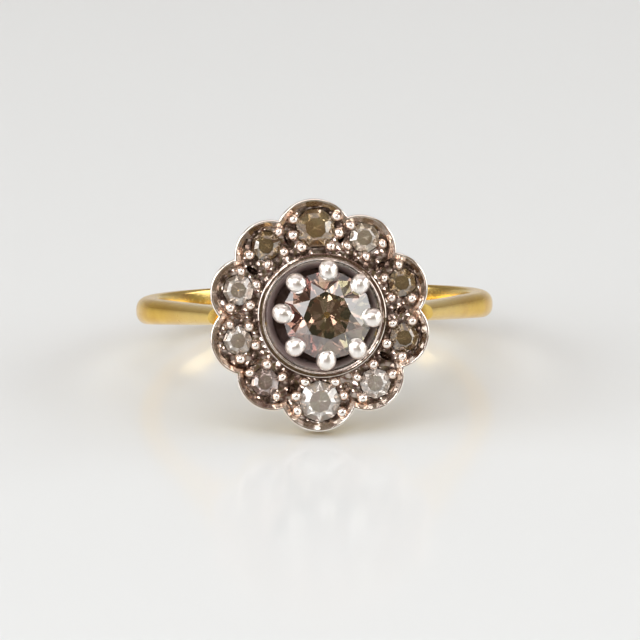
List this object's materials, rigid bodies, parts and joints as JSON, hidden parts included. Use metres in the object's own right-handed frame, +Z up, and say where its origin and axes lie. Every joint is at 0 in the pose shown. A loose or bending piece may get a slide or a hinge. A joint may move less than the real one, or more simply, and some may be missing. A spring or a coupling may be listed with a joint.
{
  "type": "cluster ring",
  "caption": "Finger ring whose tapering band carries a flat flower of small round-cut stones round a larger stone in a claw setting with a collar.",
  "frame": {"origin": "on the surface that the ring lies on, below the middle of its whole extent", "axes": "+Z up, +Y from the flower towards the back of the band, +X towards the flower's right as its viewer sees it"},
  "size_m": [0.0188, 0.0222, 0.0119],
  "materials": {
    "yellow_gold": "polished",
    "platinum": "polished",
    "diamond": "polished"
  },
  "bodies": {
    "root": {"shank": "yellow_gold", "setting": "platinum", "centre_stone": "diamond", "petal_stone_1": "diamond", "petal_stone_2": "diamond", "petal_stone_3": "diamond", "petal_stone_4": "diamond", "petal_stone_5": "diamond", "petal_stone_6": "diamond", "petal_stone_7": "diamond", "petal_stone_8": "diamond", "petal_stone_9": "diamond", "petal_stone_10": "diamond"}
  },
  "joints": []
}
